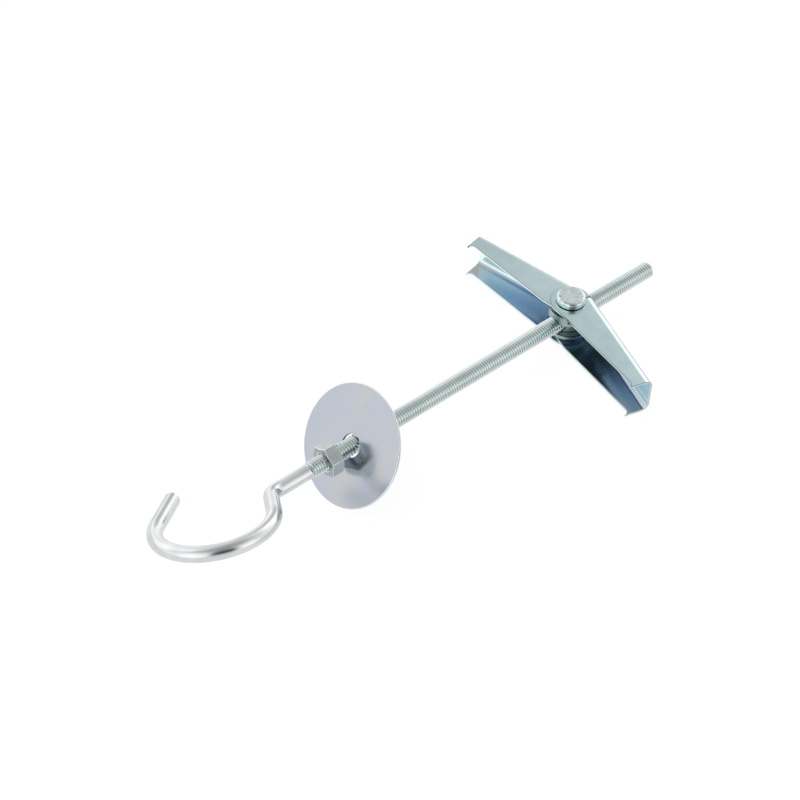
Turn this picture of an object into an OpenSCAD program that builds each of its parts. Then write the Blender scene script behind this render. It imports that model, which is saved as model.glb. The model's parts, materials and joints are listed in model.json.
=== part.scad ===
// Spring toggle bolt: a hook rod with a hex nut, a ceiling washer and a sprung two-wing toggle.
//
// Every piece is drawn with the rod along X, the toggle's rivet along Z and their crossing at
// the origin: the hook is at -X, the rod's free end at +X and the wings point to +Y and -Y.
// bolt_at_rest() then lays the whole bolt down on the washer's rim, the lower rivet head and
// the tip of the left wing.

/* [Rod] */
// Outside diameter of the thread
thread_d = 5.9; // [5.8:0.02:5.96]
// Pitch of the thread
thread_pitch = 1; // [0.75:0.25:1]
// Diameter of the plain shank and of the hook's wire
wire_d = 5.2; // [4.8:0.1:5.4]
// From the rivet's axis to the rod's free end
rod_reach = 38.1; // [20:0.1:60]
// Thread left free behind the nut
thread_behind = 5.9; // [3:0.1:12]
// Bevel at the rod's free end and at the hook's tip
end_bevel = 0.5; // [0.2:0.1:0.8]

/* [Hook] */
// Plain shank from the thread's inner end to where the wire leaves the rod's axis
shank_run = 11; // [6:0.1:25]
// Radius of the bend that leads the wire off the rod's axis
neck_r = 6; // [4:0.1:8]
// Angle of that bend
neck_turn = 60.8; // [50:0.1:70]
// Straight wire between the two bends
neck_run = 9.1; // [6:0.1:12]
// Radius of the hook's round, to the middle of the wire
hook_r = 18.7; // [16:0.1:22]
// Angle of the hook's round
hook_turn = 199.4; // [180:0.1:220]
// Straight wire at the hook's tip
tip_run = 17.1; // [8:0.1:20]
// Turn of the hook's plane about the rod
hook_roll = 23.3; // [0:0.1:45]
// Angle between the hook's plane and the rod
hook_lean = 5.3; // [1:0.1:10]
// Straight wire in the hook's plane before its first bend
lean_run = 0.7; // [0.6:0.1:3]

/* [Nut] */
// Width across the nut's flats
nut_flats = 10; // [9.8:0.1:11]
// Thickness of the nut
nut_t = 4.8; // [4:0.1:5.2]
// From the middle of the washer back to the nut's washer face
nut_behind = 6.9; // [6.8:0.1:8]
// Turn of the nut about the rod
nut_turn = 1.2; // [-10:0.1:10]

/* [Washer] */
// Outside diameter of the washer
washer_d = 41; // [38:0.5:44]
// Thickness of the washer
washer_t = 0.8; // [0.6:0.1:1]
// Diameter of its hole
washer_hole = 7.7; // [7.7:0.1:9]
// From the rivet's axis back to the middle of the washer
washer_back = 95.9; // [80:0.1:120]
// How far the washer leans over on the rod
washer_tilt = 33.3; // [32:0.1:34]
// How far it is turned to one side
washer_yaw = 2; // [-3:0.1:3]
// Bevel on the edges of its rim
washer_bevel = 0.2; // [0.1:0.05:0.3]

/* [Wings] */
// Thickness of the wings' sheet
sheet = 0.8; // [0.7:0.05:0.9]
// Height of the folded channel
wing_h = 14; // [13.8:0.1:15]
// From the rivet's axis to the wing's tip
wing_len = 43.65; // [36:0.05:50]
// Width of the relief cut between the round ends and the web
relief = 0.4; // [0.2:0.1:0.6]
// From the rivet's axis to the outside of the channel's web
web_out = 8.4; // [8.3:0.05:9]
// Outside radius of the channel's two bends
bend_r = 3; // [2.5:0.1:3.2]
// Radius of the outer flange's round end
outer_end_r = 7; // [6.5:0.1:7.4]
// Radius of the inner flange's round end, which turns inside the other wing
inner_end_r = 5.6; // [5:0.1:5.7]
// Where the free edge starts to rise, along the wing
edge_x = 8; // [7:0.5:12]
// How far the free edge is from the rivet's axis there
edge_y = 5.2; // [5:0.1:5.3]
// Angle at which the free edge rises to the tip
edge_angle = 10.65; // [8:0.05:12]
// Height of the claw over the line of the free edge
claw_h = 2.07; // [1:0.01:2.5]
// Radius of the hollow in front of the claw
claw_r = 2; // [1.5:0.1:4]
// Direction of the left wing, from the rod's free end
left_open = 101.4; // [99:0.1:110]
// Direction of the right wing, from the rod's free end
right_open = 106.7; // [99:0.1:110]

/* [Toggle nut] */
// Radius of the two round collars
collar_r = 7.3; // [7:0.05:7.35]
// Radius of the waist between them, through which the rod passes
waist_r = 5; // [4.5:0.1:6]
// Height of the upper collar's lower face over the rod's axis
upper_collar_z = 1.6; // [1:0.1:2]
// Depth of the lower collar's upper face under the rod's axis
lower_collar_z = 2.8; // [1:0.1:3.2]
// From the rivet's axis back to the lip that stands around the spring
spring_lip_x = 5.4; // [5.3:0.1:6]
// Height of the lower collar's chamfer, which the right wing's bend passes
chamfer_h = 1.1; // [1.1:0.05:1.6]
// Width of that chamfer
chamfer_w = 1.3; // [1.3:0.05:1.8]
// Radius of the pin through the wings' flanges
journal_r = 3; // [2.5:0.1:3.5]
// Radius of the rivet heads
head_r = 5; // [4.5:0.1:5.5]
// Height of the rivet heads
head_h = 2.4; // [1.8:0.1:3]
// Radius of the rounded rim of the rivet heads
head_round = 1.1; // [0.3:0.1:1.2]

/* [Spring] */
// Diameter of the spring's wire
spring_wire = 0.7; // [0.5:0.05:0.7]
// Radius of its coil, to the middle of the wire
spring_r = 4.7; // [4.5:0.05:4.9]
// Full turns of the coil, apart from the angle between the legs
spring_turns = 2; // [1:1:2]
// How far the legs reach along the wings
leg_reach = 16; // [10:0.5:20]
// Space between two turns
turn_gap = 0.04; // [0.02:0.01:0.06]
// Space between the coil and the boss inside it
boss_gap = 0.25; // [0.2:0.05:0.4]
// Space between the coil and the lip outside it
lip_gap = 0.3; // [0.25:0.05:0.35]
// Space between the left leg's end and the web
left_leg_gap = 0.2; // [0.15:0.05:0.5]
// Space between the right leg's end and the web
right_leg_gap = 0.45; // [0.4:0.05:0.6]

/* [Clearances] */
// Between the rod's thread and the threads that run on it
thread_gap = 0.05; // [0.03:0.01:0.08]
// Between the rivet's pin and the flanges' holes
pivot_gap = 0.05; // [0.03:0.01:0.08]
// Between flat faces that turn against each other
face_gap = 0.1; // [0.05:0.01:0.12]
// Between an open wing's web and the rod that stops it
stop_gap = 0.1; // [0.05:0.01:0.2]
// Between the spring and what it lies against
spring_gap = 0.1; // [0.05:0.01:0.15]

/* [Hidden] */

$fn = 96;
wire_sides = 24;
spring_sides = 8;
zinc = [0.76, 0.79, 0.80];
blue_zinc = [0.66, 0.74, 0.78];
bright_zinc = [0.80, 0.82, 0.82];
dark_steel = [0.42, 0.47, 0.48];

thread_r = thread_d / 2;
run_out = thread_pitch;
nut_back = washer_back + nut_behind;
thread_back = nut_back + nut_t + thread_behind;
shank_back = thread_back + shank_run;

// A lap keeps two solids from sharing a face, and a cut runs past the face that it opens
lap = 0.01;
past = 1;

nut_corners = nut_flats / cos(30);
bevel_angle = 30;
nut_bevel_r = 0.49 * nut_flats;

// The wings' flanges lie in two layers, so each channel sits half a layer off the rod's axis
layer = sheet + face_gap;
web_in = web_out - sheet;
bend_in = bend_r - sheet;
outer_flange_z = wing_h / 2 + layer / 2;
inner_flange_z = wing_h / 2 - layer / 2;
head_z = outer_flange_z + face_gap;
nut_top = inner_flange_z - sheet - face_gap;

// The coil stands in a recess of the upper collar, under the inner flange
boss_r = spring_r - spring_wire / 2 - boss_gap;
turn_rise = spring_wire + turn_gap;

function heading(a) = [cos(a), sin(a)];
function unit(v) = v / norm(v);

// ---------------------------------------------------------------- bent wire

// A wire is swept along a path of points. Its rings stand square to the path, each turned so
// that its first corner lies in the plane that has the given normal.
function path_way(path, i) =
    unit(path[min(i + 1, len(path) - 1)] - path[max(i - 1, 0)]);
function wire_ring(path, i, r, normal, sides) =
    let (way = path_way(path, i), out = unit(cross(normal, way)), over = cross(way, out))
    [for (k = [0:sides - 1]) path[i] + r * (cos(360 * k / sides) * out + sin(360 * k / sides) * over)];

module swept_wire(path, d, normal, sides, bevel = 0) {
    last = len(path) - 1;
    points = [for (i = [0:last]) each wire_ring(path, i, d / 2 - (i == last ? bevel : 0), normal, sides)];
    walls = [for (i = [0:last - 1], k = [0:sides - 1])
        let (a = i * sides + k, b = i * sides + (k + 1) % sides)
        [a + sides, b + sides, b, a]];
    near_end = [for (k = [0:sides - 1]) k];
    far_end = [for (k = [sides - 1:-1:0]) last * sides + k];
    polyhedron(points, concat([near_end], walls, [far_end]));
}

// ---------------------------------------------------------------- rod and hook

module turned_rod() {
    neck_bevel = (thread_d - wire_d) / 4;
    rotate([0, 90, 0])
        rotate_extrude()
            polygon([
                [0, -thread_back - run_out],
                [thread_r - neck_bevel, -thread_back - run_out],
                [thread_r, -thread_back],
                [thread_r, rod_reach - end_bevel],
                [thread_r - end_bevel, rod_reach],
                [0, rod_reach]
            ]);
}

// The hook lies in a plane of its own: the wire comes in along -X, bends off to -Y, runs
// straight, turns back in the hook's round and ends in a straight tip.
neck_heading = 180 + neck_turn;
tip_heading = neck_heading - hook_turn;
neck_centre = [0, -neck_r];
neck_end = neck_centre + neck_r * heading(90 + neck_turn);
round_start = neck_end + neck_run * heading(neck_heading);
round_centre = round_start + hook_r * heading(neck_heading - 90);
round_end = round_centre + hook_r * heading(tip_heading + 90);
neck_steps = 10;
hook_steps = 48;

// A point of the hook's plane in the bolt's own frame
function in_bolt(p) =
    let (
        x = (p[0] - lean_run) * cos(hook_lean),
        y = p[1],
        z = (lean_run - p[0]) * sin(hook_lean)
    )
    [x - shank_back, y * cos(hook_roll) + z * sin(hook_roll), z * cos(hook_roll) - y * sin(hook_roll)];

hook_centre = in_bolt(round_centre);
hook_axis = [sin(hook_lean), cos(hook_lean) * sin(hook_roll), cos(hook_lean) * cos(hook_roll)];

hook_path = concat(
    [[-thread_back + 2 * run_out, 0, 0], in_bolt([lean_run, 0])],
    [for (i = [0:neck_steps])
        in_bolt(neck_centre + neck_r * heading(90 + neck_turn * i / neck_steps))],
    [for (i = [0:hook_steps])
        in_bolt(round_centre + hook_r * heading(neck_heading + 90 - hook_turn * i / hook_steps))],
    [for (run = [tip_run - end_bevel, tip_run]) in_bolt(round_end + run * heading(tip_heading))]
);

module hook_rod() {
    color(zinc) {
        turned_rod();
        swept_wire(hook_path, wire_d, hook_axis, wire_sides, end_bevel);
    }
}

// ---------------------------------------------------------------- hex nut

module nut_blank() {
    bevel_t = (nut_corners / 2 - nut_bevel_r) * tan(bevel_angle);
    intersection() {
        cylinder(h = nut_t, d = nut_corners, $fn = 6);
        rotate_extrude()
            polygon([
                [0, 0],
                [nut_bevel_r, 0],
                [nut_corners / 2, bevel_t],
                [nut_corners / 2, nut_t - bevel_t],
                [nut_bevel_r, nut_t],
                [0, nut_t]
            ]);
    }
}

module hex_nut() {
    bore_r = thread_r + thread_gap;
    mouth = 0.4;
    color(zinc)
        translate([-nut_back - nut_t, 0, 0])
            rotate([nut_turn, 0, 0])
                rotate([0, 90, 0])
                    difference() {
                        nut_blank();
                        translate([0, 0, -past])
                            cylinder(h = nut_t + 2 * past, r = bore_r);
                        for (end = [0, 1])
                            translate([0, 0, end * nut_t])
                                mirror([0, 0, end])
                                    translate([0, 0, -lap])
                                        cylinder(h = mouth, r1 = bore_r + mouth, r2 = bore_r);
                    }
}

// ---------------------------------------------------------------- washer

washer_centre = [-washer_back, 0, 0];
washer_normal = [
    -cos(washer_tilt) * cos(washer_yaw),
    cos(washer_tilt) * sin(washer_yaw),
    sin(washer_tilt)
];

module washer() {
    r = washer_d / 2;
    half = washer_t / 2;
    color(bright_zinc)
        translate(washer_centre)
            rotate([0, washer_tilt - 90, -washer_yaw])
                difference() {
                    rotate_extrude()
                        polygon([
                            [0, -half],
                            [r - washer_bevel, -half],
                            [r, washer_bevel - half],
                            [r, half - washer_bevel],
                            [r - washer_bevel, half],
                            [0, half]
                        ]);
                    translate([0, 0, -washer_t])
                        cylinder(h = 2 * washer_t, d = washer_hole);
                }
}

// ---------------------------------------------------------------- toggle nut

module rivet_head() {
    rotate_extrude() {
        square([head_r - head_round, head_h]);
        square([head_r, head_h - head_round]);
        translate([head_r - head_round, head_h - head_round])
            intersection() {
                circle(r = head_round);
                square(head_round);
            }
    }
}

// Past its round floor the upper collar has a boss inside the spring's coil, and a lip outside
// it on the hook's side
module upper_collar() {
    recess_z = coil_low - spring_wire / 2 - spring_gap;
    lip_in = spring_r + spring_wire / 2 + lip_gap;
    translate([0, 0, upper_collar_z])
        cylinder(h = recess_z - upper_collar_z, r = collar_r);
    translate([0, 0, upper_collar_z])
        cylinder(h = nut_top - upper_collar_z, r = boss_r);
    intersection() {
        translate([0, 0, upper_collar_z])
            difference() {
                cylinder(h = nut_top - upper_collar_z, r = collar_r);
                translate([0, 0, -past])
                    cylinder(h = nut_top - upper_collar_z + 2 * past, r = lip_in);
            }
        translate([-2 * collar_r - spring_lip_x, -collar_r, 0])
            cube([2 * collar_r, 2 * collar_r, nut_top]);
    }
}

module lower_collar() {
    translate([0, 0, chamfer_h - nut_top])
        cylinder(h = nut_top - chamfer_h - lower_collar_z, r = collar_r);
    translate([0, 0, -nut_top])
        cylinder(h = chamfer_h, r1 = collar_r - chamfer_w, r2 = collar_r);
}

module toggle_nut() {
    color(dark_steel)
        difference() {
            union() {
                translate([0, 0, -lower_collar_z])
                    cylinder(h = lower_collar_z + upper_collar_z, r = waist_r);
                upper_collar();
                lower_collar();
                translate([0, 0, -head_z])
                    cylinder(h = 2 * head_z, r = journal_r);
                for (side = [0, 1])
                    mirror([0, 0, side])
                        translate([0, 0, head_z])
                            rivet_head();
            }
            translate([-2 * collar_r, 0, 0])
                rotate([0, 90, 0])
                    cylinder(h = 4 * collar_r, r = thread_r + thread_gap);
        }
}

// ---------------------------------------------------------------- wings

// A wing lies along its own X axis with its web on the +Y side and its outer flange on top.
// Its free edge leaves the round end at a tangent, rises in a straight line and ends in a claw.
edge_start = [edge_x, -edge_y];
claw_foot_x = wing_len - claw_h * sin(edge_angle);
claw_foot = [claw_foot_x, -edge_y + (claw_foot_x - edge_x) * tan(edge_angle)];
claw_off = [sin(edge_angle), -cos(edge_angle)];
claw_tip = claw_foot + claw_h * claw_off;
hollow_start = claw_foot - sqrt(2 * claw_r * claw_h - claw_h * claw_h) * heading(edge_angle);
hollow_centre = hollow_start + claw_r * claw_off;

function tangent_angle(r) = atan2(-edge_y, edge_x) - acos(r / norm(edge_start));

// The web ends where it meets the rod once the wing is open
function web_start(open) = (thread_r + stop_gap + web_in * cos(open)) / sin(open);

module flange_outline(end_r, open) {
    difference() {
        union() {
            circle(r = end_r);
            polygon([
                end_r * heading(tangent_angle(end_r)),
                edge_start,
                hollow_start,
                claw_tip,
                [wing_len, web_out],
                [web_start(open), web_out],
                [web_start(open), 0],
                [0, 0]
            ]);
        }
        translate(hollow_centre)
            circle(r = claw_r);
    }
}

module channel_section(out, r, h) {
    bend_y = out - r;
    translate([-h / 2, -2 * out])
        square([h, 2 * out + bend_y]);
    translate([r - h / 2, bend_y - lap])
        square([h - 2 * r, r + lap]);
    for (side = [-1, 1])
        translate([side * (h / 2 - r), bend_y])
            circle(r = r);
}

// The folded channel from the web's inner end past the tip
module channel(open) {
    start = web_start(open);
    translate([start, 0, layer / 2])
        rotate([0, 90, 0])
            linear_extrude(wing_len)
                difference() {
                    channel_section(web_out, bend_r, wing_h);
                    channel_section(web_in, bend_in, wing_h - 2 * sheet);
                }
}

// The flat round end of a flange, with a relief cut where the bend starts
module round_end(end_r, open) {
    start = web_start(open);
    intersection() {
        flange_outline(end_r, open);
        union() {
            translate([-wing_h, -wing_h])
                square([wing_h + start - relief, 2 * wing_h]);
            translate([-wing_h, -wing_h])
                square([wing_h + start + relief, wing_h + web_out - bend_r]);
        }
    }
}

module wing(open) {
    difference() {
        union() {
            intersection() {
                channel(open);
                union() {
                    linear_extrude(2 * wing_h)
                        flange_outline(outer_end_r, open);
                    translate([0, 0, -2 * wing_h])
                        linear_extrude(2 * wing_h)
                            flange_outline(inner_end_r, open);
                }
            }
            translate([0, 0, outer_flange_z - sheet])
                linear_extrude(sheet)
                    round_end(outer_end_r, open);
            translate([0, 0, -inner_flange_z])
                linear_extrude(sheet)
                    round_end(inner_end_r, open);
        }
        translate([0, 0, -wing_h])
            cylinder(h = 2 * wing_h, r = journal_r + pivot_gap);
    }
}

module left_wing() {
    color(blue_zinc)
        rotate([180, 0, 0])
            rotate([0, 0, -left_open])
                wing(left_open);
}

module right_wing() {
    color(blue_zinc)
        rotate([0, 0, -right_open])
            wing(right_open);
}

// ---------------------------------------------------------------- torsion spring

// The left leg lies along the left wing's web, turns into the coil at a tangent, and the coil
// climbs to the right leg. A leg's end is given along the wing and off the web.
function leg_end(open, side, off) =
    leg_reach * [cos(open), side * sin(open)] + off * [sin(open), -side * cos(open)];
function tangent_at(end, side) = atan2(end[1], end[0]) - side * acos(spring_r / norm(end));
function lifted(p, z) = [p[0], p[1], z];

left_end = leg_end(left_open, 1, web_in - spring_wire / 2 - left_leg_gap);
right_end = leg_end(right_open, -1, web_in - spring_wire / 2 - right_leg_gap);
left_tangent = tangent_at(left_end, 1);
right_tangent = tangent_at(right_end, -1);
coil_turn = 360 * spring_turns + left_tangent - right_tangent;
coil_rise = coil_turn / 360 * turn_rise;
coil_low = nut_top - (spring_gap + spring_wire) / 2 - coil_rise;
coil_steps = 26 * spring_turns;
spring_path = concat(
    [lifted(left_end, coil_low)],
    [for (i = [0:coil_steps])
        lifted(spring_r * heading(left_tangent - coil_turn * i / coil_steps),
            coil_low + coil_rise * i / coil_steps)],
    [lifted(right_end, coil_low + coil_rise)]
);

module torsion_spring() {
    color(dark_steel)
        swept_wire(spring_path, spring_wire, [0, 0, 1], spring_sides);
}

// ---------------------------------------------------------------- how the bolt lies

// The row's directions, seen from the bolt's own frame, once it is rolled and tilted
function row_x(tilt, roll) = [cos(tilt), sin(tilt) * sin(roll), sin(tilt) * cos(roll)];
function row_y(roll) = [0, cos(roll), -sin(roll)];
function row_z(tilt, roll) = [-sin(tilt), cos(tilt) * sin(roll), cos(tilt) * cos(roll)];

// How far a disc, a rounded tip or a ring reaches along a direction
function across(way, axis) = sqrt(1 - pow(way * axis, 2));
function disc_reach(way, centre, axis, r, t) =
    way * centre + r * across(way, axis) + abs(way * axis) * t / 2;

lower_head = [0, 0, -head_z - head_h / 2];
function head_low(up) =
    -head_round - disc_reach(-up, lower_head, [0, 0, 1], head_r - head_round, head_h - 2 * head_round);
function washer_low(up) = -max(
    disc_reach(-up, washer_centre, washer_normal, washer_d / 2 - washer_bevel, washer_t),
    disc_reach(-up, washer_centre, washer_normal, washer_d / 2, washer_t - 2 * washer_bevel)
);

function left_point(x, y, z) =
    [x * cos(left_open) + y * sin(left_open), x * sin(left_open) - y * cos(left_open), -z];
function right_point(x, y, z) =
    [x * cos(right_open) + y * sin(right_open), y * cos(right_open) - x * sin(right_open), z];
function tip_reach(way, centre, open, side) =
    way * centre + bend_r * across(way, [cos(open), side * sin(open), 0]);
function left_low(up) =
    -tip_reach(-up, left_point(wing_len, web_out - bend_r, outer_flange_z - bend_r), left_open, 1);

// Tilt and roll are corrected until the washer, the lower head and the left wing's tip are level
function settled(tilt, roll, rounds) =
    rounds == 0 ? [tilt, roll] :
    let (
        up = row_z(tilt, roll),
        washer_lift = head_low(up) - washer_low(up),
        wing_lift = head_low(up) - left_low(up)
    )
    settled(tilt + atan2(washer_lift, washer_back), roll + atan2(wing_lift, wing_len), rounds - 1);

rest_rounds = 24;
rest = settled(0, 0, rest_rounds);
rest_up = row_z(rest[0], rest[1]);

function back_x(way) = -disc_reach(-way, hook_centre, hook_axis, hook_r, 0) - wire_d / 2;
function front_x(way) = disc_reach(way, [rod_reach, 0, 0], [1, 0, 0], thread_r - end_bevel, 0);
function left_y(way) =
    tip_reach(way, left_point(wing_len, web_out - bend_r, bend_r - inner_flange_z), left_open, 1);
function right_y(way) =
    -tip_reach(-way, right_point(wing_len, web_out - bend_r, bend_r - inner_flange_z), right_open, -1);

rest_x = row_x(rest[0], rest[1]);
rest_y = row_y(rest[1]);
rest_shift = [
    -(back_x(rest_x) + front_x(rest_x)) / 2,
    -(left_y(rest_y) + right_y(rest_y)) / 2,
    -head_low(rest_up)
];

module bolt_at_rest() {
    translate(rest_shift)
        rotate([rest[1], rest[0], 0])
            children();
}

bolt_at_rest() hook_rod();
bolt_at_rest() hex_nut();
bolt_at_rest() washer();
bolt_at_rest() toggle_nut();
bolt_at_rest() left_wing();
bolt_at_rest() right_wing();
bolt_at_rest() torsion_spring();
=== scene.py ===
"""Spring toggle bolt: the looks of its hook rod, nut, washer, tapped trunnion, wings and spring."""

import json
import math

import bpy
from mathutils import Euler, Matrix, Vector


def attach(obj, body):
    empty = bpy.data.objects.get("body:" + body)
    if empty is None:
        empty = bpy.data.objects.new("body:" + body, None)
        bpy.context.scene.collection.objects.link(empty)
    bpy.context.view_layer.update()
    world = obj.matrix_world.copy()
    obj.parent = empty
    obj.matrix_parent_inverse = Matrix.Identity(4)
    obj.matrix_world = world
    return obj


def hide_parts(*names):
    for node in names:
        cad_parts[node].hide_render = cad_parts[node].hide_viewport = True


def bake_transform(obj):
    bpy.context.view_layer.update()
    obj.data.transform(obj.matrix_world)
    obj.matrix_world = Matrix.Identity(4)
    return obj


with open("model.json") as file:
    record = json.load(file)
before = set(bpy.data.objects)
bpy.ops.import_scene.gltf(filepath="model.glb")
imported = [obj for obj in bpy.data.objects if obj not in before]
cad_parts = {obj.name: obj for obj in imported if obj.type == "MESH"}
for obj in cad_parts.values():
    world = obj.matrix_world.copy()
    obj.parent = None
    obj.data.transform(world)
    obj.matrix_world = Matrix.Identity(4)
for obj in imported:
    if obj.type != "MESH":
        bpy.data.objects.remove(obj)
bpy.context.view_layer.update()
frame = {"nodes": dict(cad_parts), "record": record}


# ---------------------------------------------------------------- hook rod
# One steel wire: its straight length is rolled with an M6 thread, and its plain end is bent
# sideways and round into an open hook. Rolling leaves crests that stand proud of the shank.

thread_r = 2.95
pitch = 1
tooth_depth = 0.6134 * pitch
crest_w = 0.125 * pitch
root_w = 0.167 * pitch
rod_reach = 38.1
thread_back = 113.5
run_out = pitch
end_bevel = 0.5
wire_r = 2.6

shank_back = 124.5
lean_run = 0.7
neck_r = 6
neck_turn = 60.8
neck_run = 9.1
hook_r = 18.7
hook_turn = 199.4
tip_run = 17.1
hook_roll = math.radians(23.3)
hook_lean = math.radians(5.3)

# The shank starts a little way inside the thread, whose last turn sinks just under its surface.
shank_lap = 0.5
sink = 0.02

# Each piece is made in millimetres in the bolt's own frame: the rod along X, the wings' rivet
# along Z, their crossing at the origin. Laying it down turns it to the frame that the joints
# give, in metres.
millimetre = 0.001
joints = {joint["name"]: joint for joint in frame["record"]["behaviour"]["joints"]}
rod_way = Vector(joints["toggle_travel"]["axis"]).normalized()
rivet_way = Vector(joints["left_fold"]["axis"]).normalized()
across_way = rivet_way.cross(rod_way).normalized()
crossing = Vector(joints["left_fold"]["pos_m"])
turned = Matrix((rod_way, across_way, rivet_way)).transposed().to_4x4()
laid = Matrix.Translation(crossing) @ turned @ Matrix.Scale(millimetre, 4)
upright = laid.inverted()


def linear(colour):
    channels = [int(colour[i : i + 2], 16) / 255 for i in (1, 3, 5)]
    return [c / 12.92 if c <= 0.04045 else ((c + 0.055) / 1.055) ** 2.4 for c in channels] + [1]


def add_node(tree, kind, settings=(), **links):
    """Adds a node. Its settings go to a socket, a property or a colour ramp, whichever fits."""
    node = tree.nodes.new(kind)
    for setting, value in dict(settings).items():
        if setting == "stops":
            points = node.color_ramp.elements
            while len(points) < len(value):
                points.new(1)
            for point, (place, colour) in zip(points, value):
                point.position = place
                point.color = linear(colour)
        elif setting in node.inputs:
            node.inputs[setting].default_value = value
        else:
            setattr(node, setting, value)
    for socket, source in links.items():
        tree.links.new(source, node.inputs[socket.replace("_", " ")])
    return node


def new_material(name):
    material = bpy.data.materials.new(name)
    material.use_nodes = True
    tree = material.node_tree
    return material, tree, tree.nodes["Principled BSDF"]


def zinc(name, tints, roughness, cloud_mm=0, grain_mm=0.4, grain_depth_mm=0.002):
    """Electroplated zinc on steel: a metal with clouds of tint and a satin grain, both read in
    millimetres of the bolt's own frame. Real grain is some hundredths of a millimetre wide, too
    fine to show, and is drawn coarser. Without tints the caller gives the colour."""
    material, tree, metal = new_material(name)
    rough_spread = 0.15
    in_bolt = add_node(
        tree,
        "ShaderNodeMapping",
        {
            "Location": upright.to_translation(),
            "Rotation": upright.to_euler(),
            "Scale": upright.to_scale(),
        },
        Vector=add_node(tree, "ShaderNodeTexCoord").outputs["Object"],
    ).outputs["Vector"]
    if tints:
        cloud = add_node(
            tree,
            "ShaderNodeTexNoise",
            {"Scale": 1 / cloud_mm, "Detail": 3, "Roughness": 0.6},
            Vector=in_bolt,
        )
        tint = add_node(tree, "ShaderNodeValToRGB", {"stops": tints}, Fac=cloud.outputs["Fac"])
        tree.links.new(tint.outputs["Color"], metal.inputs["Base Color"])
    grain = add_node(
        tree,
        "ShaderNodeTexNoise",
        {"Scale": 1 / grain_mm, "Detail": 2},
        Vector=in_bolt,
    )
    rough = add_node(
        tree,
        "ShaderNodeMapRange",
        {
            "From Min": 0.3,
            "From Max": 0.7,
            "To Min": roughness * (1 - rough_spread),
            "To Max": roughness * (1 + rough_spread),
        },
        Value=grain.outputs["Fac"],
    )
    tree.links.new(rough.outputs["Result"], metal.inputs["Roughness"])
    bump = add_node(
        tree,
        "ShaderNodeBump",
        {"Strength": 1, "Distance": grain_depth_mm * millimetre},
        Height=grain.outputs["Fac"],
    )
    tree.links.new(bump.outputs["Normal"], metal.inputs["Normal"])
    metal.inputs["Metallic"].default_value = 1
    return material, tree, in_bolt


# Bright zinc on drawn wire: silvery and close to a mirror, with faint clouds.
bright_zinc = zinc(
    "bright_zinc_plated_wire",
    [(0.35, "#E2E7E7"), (0.65, "#F1F3F3")],
    roughness=0.155,
    cloud_mm=9,
    grain_depth_mm=0.003,
)[0]

# The same zinc on the rolled thread, painted darker down in the roots, a painted shade; the crests
# keep the full colour.
thread_zinc, thread_tree, in_thread = zinc(
    "zinc_plated_rolled_thread",
    [(0.35, "#E3EDEB"), (0.65, "#F0F6F5")],
    roughness=0.2,
    cloud_mm=9,
    grain_depth_mm=0.003,
)
thread_metal = thread_tree.nodes["Principled BSDF"]
crest_colour = thread_metal.inputs["Base Color"].links[0].from_socket
root_r = thread_r - tooth_depth
unshaded_depth = 0.15
off_axis = add_node(thread_tree, "ShaderNodeMapping", {"Scale": (0, 1, 1)}, Vector=in_thread)
radius = add_node(thread_tree, "ShaderNodeVectorMath", {"operation": "LENGTH"})
thread_tree.links.new(off_axis.outputs["Vector"], radius.inputs[0])
out_of_root = add_node(
    thread_tree,
    "ShaderNodeMapRange",
    {"From Min": root_r, "From Max": thread_r - unshaded_depth},
    Value=radius.outputs["Value"],
)
# Painted shade: the thread's colour darkens towards the roots.
root_shade = add_node(
    thread_tree,
    "ShaderNodeMixRGB",
    {"Color1": linear("#CED9D8")},
    Fac=out_of_root.outputs["Result"],
    Color2=crest_colour,
)
thread_tree.links.new(root_shade.outputs["Color"], thread_metal.inputs["Base Color"])


def pick(piece):
    bpy.ops.object.select_all(action="DESELECT")
    piece.select_set(True)
    bpy.context.view_layer.objects.active = piece


def modify(piece, kind, **settings):
    pick(piece)
    modifier = piece.modifiers.new(kind.title(), kind)
    for setting, value in settings.items():
        setattr(modifier, setting, value)
    bpy.ops.object.modifier_apply(modifier=modifier.name)


def lay_down(piece, name, body, node):
    """Turns a piece's faces outwards, lays it in the model's frame and says what it stands for. A
    piece with no body given is left without one."""
    pick(piece)
    piece.name = name
    piece.data.name = name
    bpy.ops.object.mode_set(mode="EDIT")
    bpy.ops.mesh.select_all(action="SELECT")
    bpy.ops.mesh.normals_make_consistent(inside=False)
    bpy.ops.object.mode_set(mode="OBJECT")
    piece.data.transform(laid)
    bpy.ops.object.shade_smooth_by_angle(angle=math.radians(30))
    modify(piece, "WEIGHTED_NORMAL", mode="FACE_AREA", weight=50, keep_sharp=True)
    if body:
        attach(piece, body)
    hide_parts(node)


def thread_tooth():
    """One vertex, drawn out over a pitch: root, flank, crest and flank."""
    bpy.ops.mesh.primitive_plane_add(size=1)
    tooth = bpy.context.active_object
    flank_w = (pitch - crest_w - root_w) / 2
    bpy.ops.object.mode_set(mode="EDIT")
    bpy.ops.mesh.merge(type="CENTER")
    bpy.ops.transform.translate(value=(0, root_r, 0))
    for run, rise in (
        (root_w, 0),
        (flank_w, tooth_depth),
        (crest_w, 0),
        (flank_w, -tooth_depth),
    ):
        bpy.ops.mesh.extrude_vertices_move(TRANSFORM_OT_translate={"value": (run, rise, 0)})
    bpy.ops.object.mode_set(mode="OBJECT")
    return tooth


def cut_off(piece, place, way):
    """Cuts piece square at place, closes it and leaves the side that way points away from."""
    pick(piece)
    bpy.ops.object.mode_set(mode="EDIT")
    bpy.ops.mesh.select_all(action="SELECT")
    bpy.ops.mesh.bisect(plane_co=place, plane_no=way, use_fill=True, clear_outer=True)
    bpy.ops.object.mode_set(mode="OBJECT")


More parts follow.
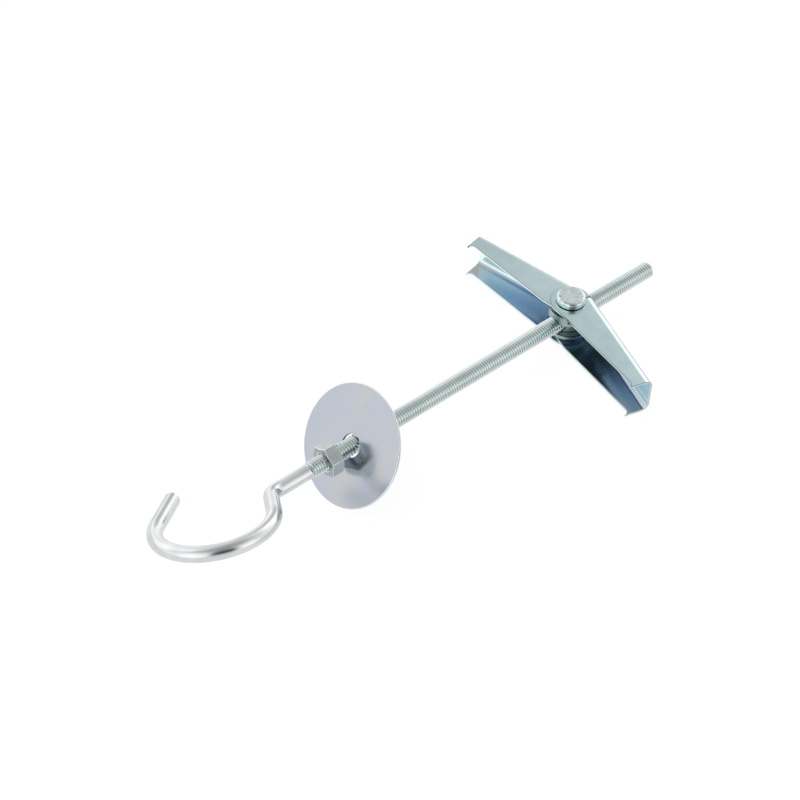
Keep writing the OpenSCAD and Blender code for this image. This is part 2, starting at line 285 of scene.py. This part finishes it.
rod = thread_tooth()
turns_to_cut_off = 2
modify(
    rod,
    "SCREW",
    axis="X",
    angle=math.tau,
    screw_offset=pitch,
    iterations=math.ceil((rod_reach + thread_back + run_out) / pitch) + turns_to_cut_off,
    steps=32,
    render_steps=32,
    use_merge_vertices=True,
    merge_threshold=0.001,
)
rod.data.transform(Matrix.Translation((-thread_back - run_out - pitch, 0, 0)))
cut_off(rod, (rod_reach, 0, 0), (1, 0, 0))
cut_off(rod, (-thread_back - run_out, 0, 0), (-1, 0, 0))
# The free end is bevelled, and at its other end the thread dies away into the shank.
for vertex in rod.data.vertices:
    from_end = rod_reach - vertex.co.x
    past_thread = -thread_back - vertex.co.x
    r = math.hypot(vertex.co.y, vertex.co.z)
    wanted = min(r, thread_r - end_bevel + from_end)
    if past_thread > -pitch:
        fade = min(1, (past_thread + pitch) / (run_out + pitch))
        wanted = r + (wire_r - sink - r) * fade
    if r > 0:
        vertex.co.y *= wanted / r
        vertex.co.z *= wanted / r


def heading(degrees):
    return Vector((math.cos(math.radians(degrees)), math.sin(math.radians(degrees)), 0))


def arc(centre, r, start, turn, steps):
    return [centre + r * heading(start + turn * i / steps) for i in range(steps + 1)]


def on_hook(point):
    """A point of the hook's plane, in the bolt's own frame."""
    along = point.x - lean_run
    x = along * math.cos(hook_lean)
    z = -along * math.sin(hook_lean)
    y = point.y
    return Vector(
        (
            x - shank_back,
            y * math.cos(hook_roll) + z * math.sin(hook_roll),
            z * math.cos(hook_roll) - y * math.sin(hook_roll),
        )
    )


def bent_wire(path, r, sides, end_scale=1):
    """A round wire along a path of points, with closed ends that may be narrower."""
    curve = bpy.data.curves.new("wire", "CURVE")
    curve.dimensions = "3D"
    curve.bevel_depth = r
    curve.bevel_resolution = sides // 2 - 2
    curve.use_fill_caps = True
    line = curve.splines.new("POLY")
    line.points.add(len(path) - 1)
    for point, place in zip(line.points, path):
        point.co = (*place, 1)
    line.points[0].radius = end_scale
    line.points[-1].radius = end_scale
    wire = bpy.data.objects.new("wire", curve)
    bpy.context.collection.objects.link(wire)
    pick(wire)
    bpy.ops.object.convert(target="MESH")
    return bpy.context.active_object


neck_heading = 180 + neck_turn
tip_heading = neck_heading - hook_turn
neck_centre = Vector((0, -neck_r, 0))
neck_end = neck_centre + neck_r * heading(90 + neck_turn)
round_start = neck_end + neck_run * heading(neck_heading)
round_centre = round_start + hook_r * heading(neck_heading - 90)
round_end = round_centre + hook_r * heading(tip_heading + 90)
flat_path = (
    arc(neck_centre, neck_r, 90, neck_turn, steps=16)
    + arc(round_centre, hook_r, neck_heading + 90, -hook_turn, steps=80)
    + [round_end + (tip_run - end_bevel) * heading(tip_heading)]
    + [round_end + tip_run * heading(tip_heading)]
)
shank_start = Vector((-thread_back + shank_lap, 0, 0))
thread_end = Vector((-thread_back, 0, 0))
hook = bent_wire(
    [shank_start, thread_end, on_hook(Vector((lean_run, 0, 0)))]
    + [on_hook(point) for point in flat_path],
    wire_r,
    sides=40,
    end_scale=1 - end_bevel / wire_r,
)
rod.data.materials.append(thread_zinc)
hook.data.materials.append(bright_zinc)
rod.select_set(True)
bpy.context.view_layer.objects.active = rod
bpy.ops.object.join()
lay_down(rod, "threaded_hook_rod", "rod", "hook_rod")


# ---------------------------------------------------------------- hex nut
# A cold-forged M6 nut, chamfered at both ends and zinc plated in a barrel. It is screwed up the
# rod on the hook's side and backs the washer.

nut_edge = 0.14
end_on = 0.3

# Zinc on forged steel is a plain satin grey on the flats. The ends, which catch more light, are
# painted a shade darker, a painted shade.
flat_zinc = zinc("zinc_plated_nut_flats", [(0.35, "#BAC2C2"), (0.65, "#CAD1D1")], 0.24, 5)[0]
shaded_end_zinc = zinc("zinc_plated_nut_ends_painted_darker", [(0.35, "#A9B1B3"), (0.65, "#B8BFC0")], 0.26, 5)[0]

# Rims and corners that knock together in the barrel are rubbed bright, and they are painted almost
# white, a painted highlight.
rubbed_and_highlight_zinc = zinc("rubbed_zinc_with_painted_highlight", [(0.35, "#EEF2F2"), (0.65, "#F6F8F8")], 0.16, 5)[0]


def rounded_edge_copy(node, edge, finishes, finish_of, edge_finish_of=None):
    """The node's own shape, merged, with its edges rounded and painted in the last of the finishes,
    or in the one that edge_finish_of picks."""
    weld_reach = 0.06
    flat_within = math.radians(0.3)
    edge_from = math.radians(40)
    piece = bpy.data.objects.new(node, frame["nodes"][node].data.copy())
    bpy.context.collection.objects.link(piece)
    piece.data.transform(upright)
    piece.data.materials.clear()
    for finish in finishes:
        piece.data.materials.append(finish)
    last = len(finishes) - 1
    pick(piece)
    bpy.ops.object.mode_set(mode="EDIT")
    bpy.ops.mesh.select_all(action="SELECT")
    bpy.ops.mesh.remove_doubles(threshold=weld_reach)
    bpy.ops.mesh.dissolve_limited(angle_limit=flat_within)
    bpy.ops.object.mode_set(mode="OBJECT")
    for face in piece.data.polygons:
        face.material_index = finishes.index(finish_of(face))
    modify(
        piece,
        "BEVEL",
        width=edge,
        segments=3,
        limit_method="ANGLE",
        angle_limit=edge_from,
        material=last,
        use_clamp_overlap=False,
    )
    if edge_finish_of:
        for face in piece.data.polygons:
            if face.material_index == last:
                face.material_index = finishes.index(edge_finish_of(face))
    return piece


def nut_finish(face):
    """The ends and their chamfers face along the rod, and the flats away from it."""
    return shaded_end_zinc if abs(face.normal.x) > end_on else flat_zinc


nut = rounded_edge_copy("hex_nut", nut_edge, [flat_zinc, shaded_end_zinc, rubbed_and_highlight_zinc], nut_finish)
lay_down(nut, "m6_hex_nut", "nut", "hex_nut")


# ---------------------------------------------------------------- ceiling washer
# A wide flat disc, blanked and pierced from steel sheet and zinc plated, which hides the hole in
# the ceiling. It hangs loose on the rod.

washer_edge = 0.1
hole_reach = 6
broad_face = 20

# Zinc on smooth cold-rolled sheet mirrors what is near, under clouds of lilac and plain grey.
washer_zinc = zinc(
    "zinc_plated_washer",
    [(0.3, "#C2C9D7"), (0.5, "#C6CBD5"), (0.7, "#CCCECF")],
    roughness=0.19,
    cloud_mm=11,
    grain_mm=0.5,
    grain_depth_mm=0.0006,
)[0]

# The wall of the punched hole is painted dark, a painted shade, so it draws a dark line.
hole_shade_zinc = zinc("painted_shade_in_washer_hole", [(0.35, "#3C4648"), (0.65, "#4C5759")], 0.3, 4)[0]


def washer_edge_finish(face):
    """The hole is painted dark, a painted shade, and the blanked rim is painted almost white, a
    painted highlight.
    """
    in_hole = math.hypot(face.center.y, face.center.z) < hole_reach
    return hole_shade_zinc if in_hole else rubbed_and_highlight_zinc


def washer_finish(face):
    return washer_zinc if face.area > broad_face else washer_edge_finish(face)


washer = rounded_edge_copy(
    "washer",
    washer_edge,
    [washer_zinc, rubbed_and_highlight_zinc, hole_shade_zinc],
    washer_finish,
    washer_edge_finish,
)
lay_down(washer, "ceiling_washer", "washer", "washer")


# ---------------------------------------------------------------- trunnion
# A steel block, turned with a waist between two collars and tapped across the waist for the rod.
# The pins at its ends pass through the wings' flanges and are peened over into round heads.

trunnion_edge = 0.2
head_foot = 7.5
crevice_top = 0.3
crevice_fade = 0.1
score_depth = 0.012

# Zinc on turned steel is a greenish satin, which blurs the wings that it mirrors.
trunnion_zinc = zinc("zinc_plated_trunnion", [(0.35, "#A0B8B8"), (0.65, "#BDD1D0")], 0.4, 4)[0]

# The trunnion's rounded corners beside the flanges are painted black, a painted shade in the gaps.
corner_shade_zinc = zinc("painted_shade_in_trunnion_corners", [(0.35, "#12181A"), (0.65, "#1C2527")], 0.3, 4)[0]

# Zinc on a peened head: silvery, scored by the tool in lines that run out from its middle.
head_zinc, head_tree, in_head = zinc("zinc_plated_peened_head", None, roughness=0.2)
head_metal = head_tree.nodes["Principled BSDF"]
split_head = add_node(head_tree, "ShaderNodeSeparateXYZ", Vector=in_head)
score_bearing = add_node(head_tree, "ShaderNodeMath", {"operation": "ARCTAN2"})
head_tree.links.new(split_head.outputs["Y"], score_bearing.inputs[0])
head_tree.links.new(split_head.outputs["X"], score_bearing.inputs[1])
from_middle = add_node(head_tree, "ShaderNodeMapping", {"Scale": (0.07, 0.07, 0)}, Vector=in_head)
score_place = add_node(head_tree, "ShaderNodeVectorMath", {"operation": "ADD"})
head_tree.links.new(score_bearing.outputs["Value"], score_place.inputs[0])
head_tree.links.new(from_middle.outputs["Vector"], score_place.inputs[1])
# Thirty-odd lines are all that the head can show, coarser than the tool's real marks.
scores = add_node(
    head_tree,
    "ShaderNodeTexNoise",
    {"Scale": 6, "Detail": 3, "Roughness": 0.7, "Distortion": 0.2},
    Vector=score_place.outputs["Vector"],
)
score_tint = add_node(
    head_tree,
    "ShaderNodeValToRGB",
    {"stops": [(0.36, "#BCCCCB"), (0.5, "#E0ECEB"), (0.62, "#F7FCFB")]},
    Fac=scores.outputs["Fac"],
)
# The crevice under each head is painted dark, a painted shade.
up_head = add_node(head_tree, "ShaderNodeMath", {"operation": "ABSOLUTE"})
head_tree.links.new(split_head.outputs["Z"], up_head.inputs[0])
out_of_crevice = add_node(
    head_tree,
    "ShaderNodeMapRange",
    {
        "From Min": head_foot + crevice_top,
        "From Max": head_foot + crevice_top + crevice_fade,
    },
    Value=up_head.outputs["Value"],
)
head_tint_and_shade = add_node(
    head_tree,
    "ShaderNodeMixRGB",
    {"Color1": linear("#20282A")},
    Fac=out_of_crevice.outputs["Result"],
    Color2=score_tint.outputs["Color"],
)
head_tree.links.new(head_tint_and_shade.outputs["Color"], head_metal.inputs["Base Color"])
score_bump = add_node(
    head_tree,
    "ShaderNodeBump",
    {"Strength": 1, "Distance": score_depth * millimetre},
    Height=scores.outputs["Fac"],
)
head_tree.links.new(score_bump.outputs["Normal"], head_metal.inputs["Normal"])


def trunnion_finish(face):
    return head_zinc if abs(face.center.z) > head_foot else trunnion_zinc


trunnion = rounded_edge_copy(
    "toggle_nut",
    trunnion_edge,
    [trunnion_zinc, head_zinc, corner_shade_zinc],
    trunnion_finish,
)
lay_down(trunnion, "tapped_trunnion", "toggle", "toggle_nut")


# ---------------------------------------------------------------- wings
# Two channels folded from steel sheet, pierced for the rivet and cut back at the tip to a pair of
# claws, then zinc plated and blue passivated. Each has one flange outside its mate's and one inside.

left_open = math.radians(101.4)
right_open = math.radians(106.7)
web_inside = 7.3
fold_reach = 45
sheet_edge = 0.1

# How much of a face's normal lies along an axis: a flat face, a sheared edge and a face that is
# past the half of a bend.
square_on = 0.99
edge_on = 0.1
half_bent = 0.5

# Outside, the passivation is thin: a soft mirror of pale blue grey.
blue_zinc = zinc(
    "blue_zinc_plated_sheet",
    [(0.35, "#C9E0E5"), (0.65, "#D8ECEF")],
    roughness=0.22,
    cloud_mm=14,
    grain_depth_mm=0.001,
)[0]

# Inside the fold the blue is painted deeper, a painted shade with the tint of light bounced between
# the flanges. It is deepest by the rivet and pales to grey at the claws.
shaded_blue_zinc, deep_tree, in_fold = zinc(
    "blue_zinc_with_painted_shade_in_the_fold",
    None,
    roughness=0.2,
    grain_depth_mm=0.0005,
)
deep_metal = deep_tree.nodes["Principled BSDF"]
in_plane = add_node(deep_tree, "ShaderNodeMapping", {"Scale": (1, 1, 0)}, Vector=in_fold)
from_rivet = add_node(deep_tree, "ShaderNodeVectorMath", {"operation": "LENGTH"})
deep_tree.links.new(in_plane.outputs["Vector"], from_rivet.inputs[0])
along_fold = add_node(
    deep_tree,
    "ShaderNodeMapRange",
    {"From Max": fold_reach},
    Value=from_rivet.outputs["Value"],
)
fold_shade_tint = add_node(
    deep_tree,
    "ShaderNodeValToRGB",
    {"stops": [(0.25, "#A0B1C7"), (0.55, "#ABBFD5"), (0.8, "#B6CADA"), (0.93, "#C8CDD1")]},
    Fac=along_fold.outputs["Result"],
)
deep_tree.links.new(fold_shade_tint.outputs["Color"], deep_metal.inputs["Base Color"])

# On the web's inner face and round the inner bends the zinc is painted pale and icy, a painted
# highlight.
web_highlight_zinc = zinc("pale_blue_zinc_with_painted_highlight_in_the_web", [(0.35, "#DFF9FB"), (0.65, "#EBFEFF")], 0.2, 9)[0]

# Sheared edges are silvery, and the outer bends are painted bright, a painted highlight. A dark line
# of painted shade runs along each edge's outer side.
edge_and_bend_highlight_zinc = zinc("zinc_on_sheared_edges_with_painted_bend_highlight", [(0.35, "#DCEEEC"), (0.65, "#E8F6F4")], 0.17, 5)[0]
# A dark line of painted shade runs along the outer side of each sheared edge.
edge_shade_zinc = zinc("painted_shade_on_sheared_edges", [(0.35, "#2C373A"), (0.65, "#3A4649")], 0.3, 5)[0]


def wing_finish(to_wing):
    """Sorts a wing's faces, once to_wing has turned them to lie along its own channel."""

    def finish_of(face):
        normal = to_wing @ face.normal
        centre = to_wing @ face.center
        facing_in = normal.z * centre.z < 0
        if abs(normal.y) > square_on and centre.y > web_inside:
            return web_highlight_zinc if normal.y < 0 else blue_zinc
        if abs(normal.z) < edge_on:
            return edge_and_bend_highlight_zinc
        if abs(normal.z) < square_on and not facing_in:
            return edge_and_bend_highlight_zinc
        if abs(normal.z) < half_bent:
            return web_highlight_zinc
        return shaded_blue_zinc if facing_in else blue_zinc

    return finish_of


def edge_shade_finish(to_wing):
    """Paints a dark line of painted shade on the outer side of a sheared edge. The inner side is
    silvery.
    """

    def edge_finish_of(face):
        normal = to_wing @ face.normal
        centre = to_wing @ face.center
        facing_in = normal.z * centre.z < 0 or (normal.y < -edge_on and centre.y > web_inside)
        return edge_and_bend_highlight_zinc if facing_in else edge_shade_zinc

    return edge_finish_of


wing_finishes = [blue_zinc, shaded_blue_zinc, web_highlight_zinc, edge_and_bend_highlight_zinc, edge_shade_zinc]
to_left = Matrix.Rotation(math.pi, 3, "X") @ Matrix.Rotation(-left_open, 3, "Z")
to_right = Matrix.Rotation(right_open, 3, "Z")
left_wing = rounded_edge_copy(
    "left_wing", sheet_edge, wing_finishes, wing_finish(to_left), edge_shade_finish(to_left)
)
lay_down(left_wing, "folded_left_wing", "left_wing", "left_wing")
right_wing = rounded_edge_copy(
    "right_wing", sheet_edge, wing_finishes, wing_finish(to_right), edge_shade_finish(to_right)
)
lay_down(right_wing, "folded_right_wing", "right_wing", "right_wing")


# ---------------------------------------------------------------- torsion spring
# One zinc-plated spring wire, wound round the trunnion's boss under the upper flanges. Its legs lie
# in the channels and push the wings open. The coil is made in two halves, one for each leg.

spring_wire_r = 0.35
coil_r = 4.7
whole_turns = 2
turn_rise = 0.74
coil_top = 5.25
coil_steps = 120

# Each leg ends leg_reach along its wing, and off from the rivet's axis towards the wing's web.
leg_reach = 16
left_leg_off = 7.05
right_leg_off = 6.8

# Zinc over dark oil-hardened wire, a little greyer than on the other pieces.
spring_zinc = zinc("zinc_plated_spring_wire", [(0.35, "#8E9C9F"), (0.65, "#AEBABC")], 0.2, 4)[0]


def leg_end(opened, side, off):
    """Where the leg ends in a wing that is opened so far, to one side of the rod or the other."""
    along = Vector((math.cos(opened), side * math.sin(opened), 0))
    outward = Vector((math.sin(opened), -side * math.cos(opened), 0))
    return leg_reach * along + off * outward


def leaves_coil(end, side):
    """The bearing, in degrees, at which the wire leaves the coil to run straight to a leg's end."""
    return math.degrees(math.atan2(end.y, end.x) - side * math.acos(coil_r / end.length))


left_end = leg_end(left_open, 1, left_leg_off)
right_end = leg_end(right_open, -1, right_leg_off)
left_leaves = leaves_coil(left_end, 1)
coil_turn = 360 * whole_turns + left_leaves - leaves_coil(right_end, -1)
coil_rise = coil_turn / 360 * turn_rise
coil_low = coil_top - coil_rise
coil = []
for step in range(coil_steps + 1):
    share = step / coil_steps
    rise = Vector((0, 0, coil_low + coil_rise * share))
    coil.append(coil_r * heading(left_leaves - coil_turn * share) + rise)
left_end.z = coil_low
right_end.z = coil_top
half_way = coil_steps // 2
left_half = bent_wire([left_end] + coil[: half_way + 1], spring_wire_r, sides=12)
right_half = bent_wire(coil[half_way:] + [right_end], spring_wire_r, sides=12)
for half, name, wing, leg_side in (
    (left_half, "spring_left_half", "left_wing", coil_low + spring_wire_r),
    (right_half, "spring_right_half", "right_wing", coil_top - spring_wire_r),
):
    half.data.materials.append(spring_zinc)
    lay_down(half, name, None, "torsion_spring")
    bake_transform(half)


# ---------------------------------------------------------------- paper floor
# A sheet of matt white paper, which carries the bolt's shadow. It is pure white to the eye. Where
# the metal mirrors it, it glows with a painted pool of light: dimmer on its front and on its hook
# end, brighter behind.

seen_glow = 1.08
hook_end_glow = 0.8
front_glow = 0.65
back_glow = 1.1
glow_share = 0.85

bpy.ops.mesh.primitive_plane_add(size=4)
floor = bpy.context.active_object
floor.name = "paper_floor"
paper, paper_tree, paper_shader = new_material("white_paper")
paper_shader.inputs["Base Color"].default_value = linear("#E8E8E8")
paper_shader.inputs["Roughness"].default_value = 0.9
ray = add_node(paper_tree, "ShaderNodeLightPath")
spot = add_node(paper_tree, "ShaderNodeTexCoord").outputs["Object"]
spot_split = add_node(paper_tree, "ShaderNodeSeparateXYZ", Vector=spot)
front_to_back = add_node(
    paper_tree,
    "ShaderNodeMapRange",
    {
        "interpolation_type": "SMOOTHSTEP",
        "From Min": -0.03,
        "From Max": 0.04,
        "To Min": front_glow,
        "To Max": back_glow,
    },
    Value=spot_split.outputs["Y"],
)
mirrored_light_pool = add_node(
    paper_tree,
    "ShaderNodeMapRange",
    {
        "interpolation_type": "SMOOTHSTEP",
        "From Min": -0.07,
        "From Max": -0.01,
        "To Min": hook_end_glow,
    },
    Value=spot_split.outputs["X"],
    To_Max=front_to_back.outputs["Result"],
)
lit = add_node(
    paper_tree,
    "ShaderNodeMapRange",
    {"To Max": seen_glow},
    Value=ray.outputs["Is Camera Ray"],
    To_Min=mirrored_light_pool.outputs["Result"],
)
glow = add_node(paper_tree, "ShaderNodeEmission", Strength=lit.outputs["Result"])
seen = add_node(paper_tree, "ShaderNodeMath", {"operation": "MAXIMUM"})
paper_tree.links.new(ray.outputs["Is Camera Ray"], seen.inputs[0])
paper_tree.links.new(ray.outputs["Is Glossy Ray"], seen.inputs[1])
seen_share = add_node(paper_tree, "ShaderNodeMath", {"operation": "MULTIPLY"})
paper_tree.links.new(seen.outputs["Value"], seen_share.inputs[0])
seen_share.inputs[1].default_value = glow_share
surface = add_node(paper_tree, "ShaderNodeMixShader", Fac=seen_share.outputs["Value"])
paper_tree.links.new(paper_shader.outputs["BSDF"], surface.inputs[1])
paper_tree.links.new(glow.outputs["Emission"], surface.inputs[2])
paper_out = paper_tree.nodes["Material Output"]
paper_tree.links.new(surface.outputs["Shader"], paper_out.inputs["Surface"])
floor.data.materials.append(paper)


# ---------------------------------------------------------------- cloth tent
# White cloth hung all round the bolt and over it, lit from outside by panels of light, with a dark
# gap between them on the side where one looks in.

# Each ring of cloth has its height, as the sine of its angle over the floor, and its greys by
# bearing, in degrees from +X.
tent_light = 1.25
tent_rings = (
    (
        0.15,
        (
            (-180, "#F9F9F9"), (-155, "#F6F6F6"), (-130, "#BFBFBF"), (-100, "#BFBFBF"),
            (-80, "#E2E2E2"), (-60, "#F1F1F1"), (-45, "#D1D1D1"), (-20, "#DDDDDD"),
            (10, "#FCFCFC"), (26, "#FCFCFC"), (34, "#C5C5C5"), (46, "#AAAAAA"),
            (56, "#B8B8B8"), (70, "#E2E2E2"), (85, "#F6F6F6"), (105, "#F9F9F9"),
            (140, "#E1E1E1"), (160, "#E7E7E7"), (180, "#F9F9F9"),
        ),
    ),
    (
        0.5,
        (
            (-180, "#FEFEFE"), (-146, "#F6F6F6"), (-132, "#3E3E3E"), (-96, "#2B2B2B"),
            (-78, "#F5F5F5"), (-60, "#E5E5E5"), (-40, "#D6D6D6"), (-20, "#D8D8D8"),
            (0, "#F1F1F1"), (15, "#FFFFFF"), (29, "#FFFFFF"), (37, "#D1D1D1"),
            (46, "#BBBBBB"), (60, "#CBCBCB"), (85, "#E7E7E7"), (110, "#F6F6F6"),
            (130, "#D7D7D7"), (160, "#E7E7E7"), (180, "#FEFEFE"),
        ),
    ),
    (
        0.77,
        (
            (-180, "#E7E7E7"), (-156, "#DADADA"), (-136, "#6F6F6F"), (-116, "#505050"),
            (-96, "#6F6F6F"), (-78, "#BFBFBF"), (-60, "#D1D1D1"), (-40, "#C0C0C0"),
            (-20, "#BBBBBB"), (20, "#C5C5C5"), (38, "#C8C8C8"), (46, "#B3B3B3"),
            (60, "#B5B5B5"), (85, "#D1D1D1"), (110, "#F1F1F1"), (140, "#C5C5C5"),
            (180, "#E7E7E7"),
        ),
    ),
    (1.0, ((-180, "#8E8E8E"), (180, "#8E8E8E"))),
)

world = bpy.data.worlds.new("cloth_tent")
bpy.context.scene.world = world
world.use_nodes = True
sky = world.node_tree
way = add_node(sky, "ShaderNodeTexCoord").outputs["Generated"]
split = add_node(sky, "ShaderNodeSeparateXYZ", Vector=way)
bearing = add_node(sky, "ShaderNodeMath", {"operation": "ARCTAN2"})
sky.links.new(split.outputs["Y"], bearing.inputs[0])
sky.links.new(split.outputs["X"], bearing.inputs[1])
around = add_node(
    sky,
    "ShaderNodeMapRange",
    {"From Min": -math.pi, "From Max": math.pi},
    Value=bearing.outputs["Value"],
)
cloth = None
for height, panels in tent_rings:
    stops = [((degrees + 180) / 360, grey) for degrees, grey in panels]
    ring = add_node(sky, "ShaderNodeValToRGB", {"stops": stops}, Fac=around.outputs["Result"])
    ring = ring.outputs["Color"]
    if cloth is not None:
        climb = add_node(
            sky,
            "ShaderNodeMapRange",
            {"From Min": lower_height, "From Max": height},
            Value=split.outputs["Z"],
        )
        ring = add_node(
            sky,
            "ShaderNodeMixRGB",
            Fac=climb.outputs["Result"],
            Color1=cloth,
            Color2=ring,
        ).outputs["Color"]
    cloth = ring
    lower_height = height
backdrop = sky.nodes["Background"]
backdrop.inputs["Strength"].default_value = tent_light
sky.links.new(cloth, backdrop.inputs["Color"])
white = add_node(sky, "ShaderNodeBackground")
white.inputs["Color"].default_value = (1, 1, 1, 1)
white.inputs["Strength"].default_value = 1
look = add_node(sky, "ShaderNodeLightPath")
both = add_node(sky, "ShaderNodeMixShader", Fac=look.outputs["Is Camera Ray"])
sky.links.new(backdrop.outputs["Background"], both.inputs[1])
sky.links.new(white.outputs["Background"], both.inputs[2])
sky.links.new(both.outputs["Shader"], sky.nodes["World Output"].inputs["Surface"])


# ---------------------------------------------------------------- lamp and camera
# A large soft lamp over the bolt, placed in metres over the floor, gives it its shadow. The
# camera's place, in millimetres, and its turn, in degrees, are given in the bolt's own frame.

lamp_place = (-0.3, 0.5, 0.9)
lamp_width = 1.2
lamp_watts = 6
camera_place = (-389.580, -346.669, 505.238)
camera_degrees = (43.21381, -1.90323, -40.11218)
camera_lens = 95.135

bpy.ops.object.light_add(type="AREA", location=lamp_place)
lamp = bpy.context.active_object
lamp.data.energy = lamp_watts
lamp.data.size = lamp_width
lamp.rotation_euler = (-lamp.location).to_track_quat("-Z", "Y").to_euler()
lamp.visible_glossy = False

camera_data = bpy.data.cameras.new("camera")
camera_data.sensor_width = 36
camera_data.lens = camera_lens
camera_data.clip_start = 0.01
camera = bpy.data.objects.new("camera", camera_data)
bpy.context.collection.objects.link(camera)
camera.location = laid @ Vector(camera_place)
camera_turn = Euler([math.radians(degrees) for degrees in camera_degrees], "XYZ")
camera.rotation_euler = (turned.to_3x3() @ camera_turn.to_matrix()).to_euler()
bpy.context.scene.camera = camera
bpy.context.scene.view_settings.view_transform = "Standard"
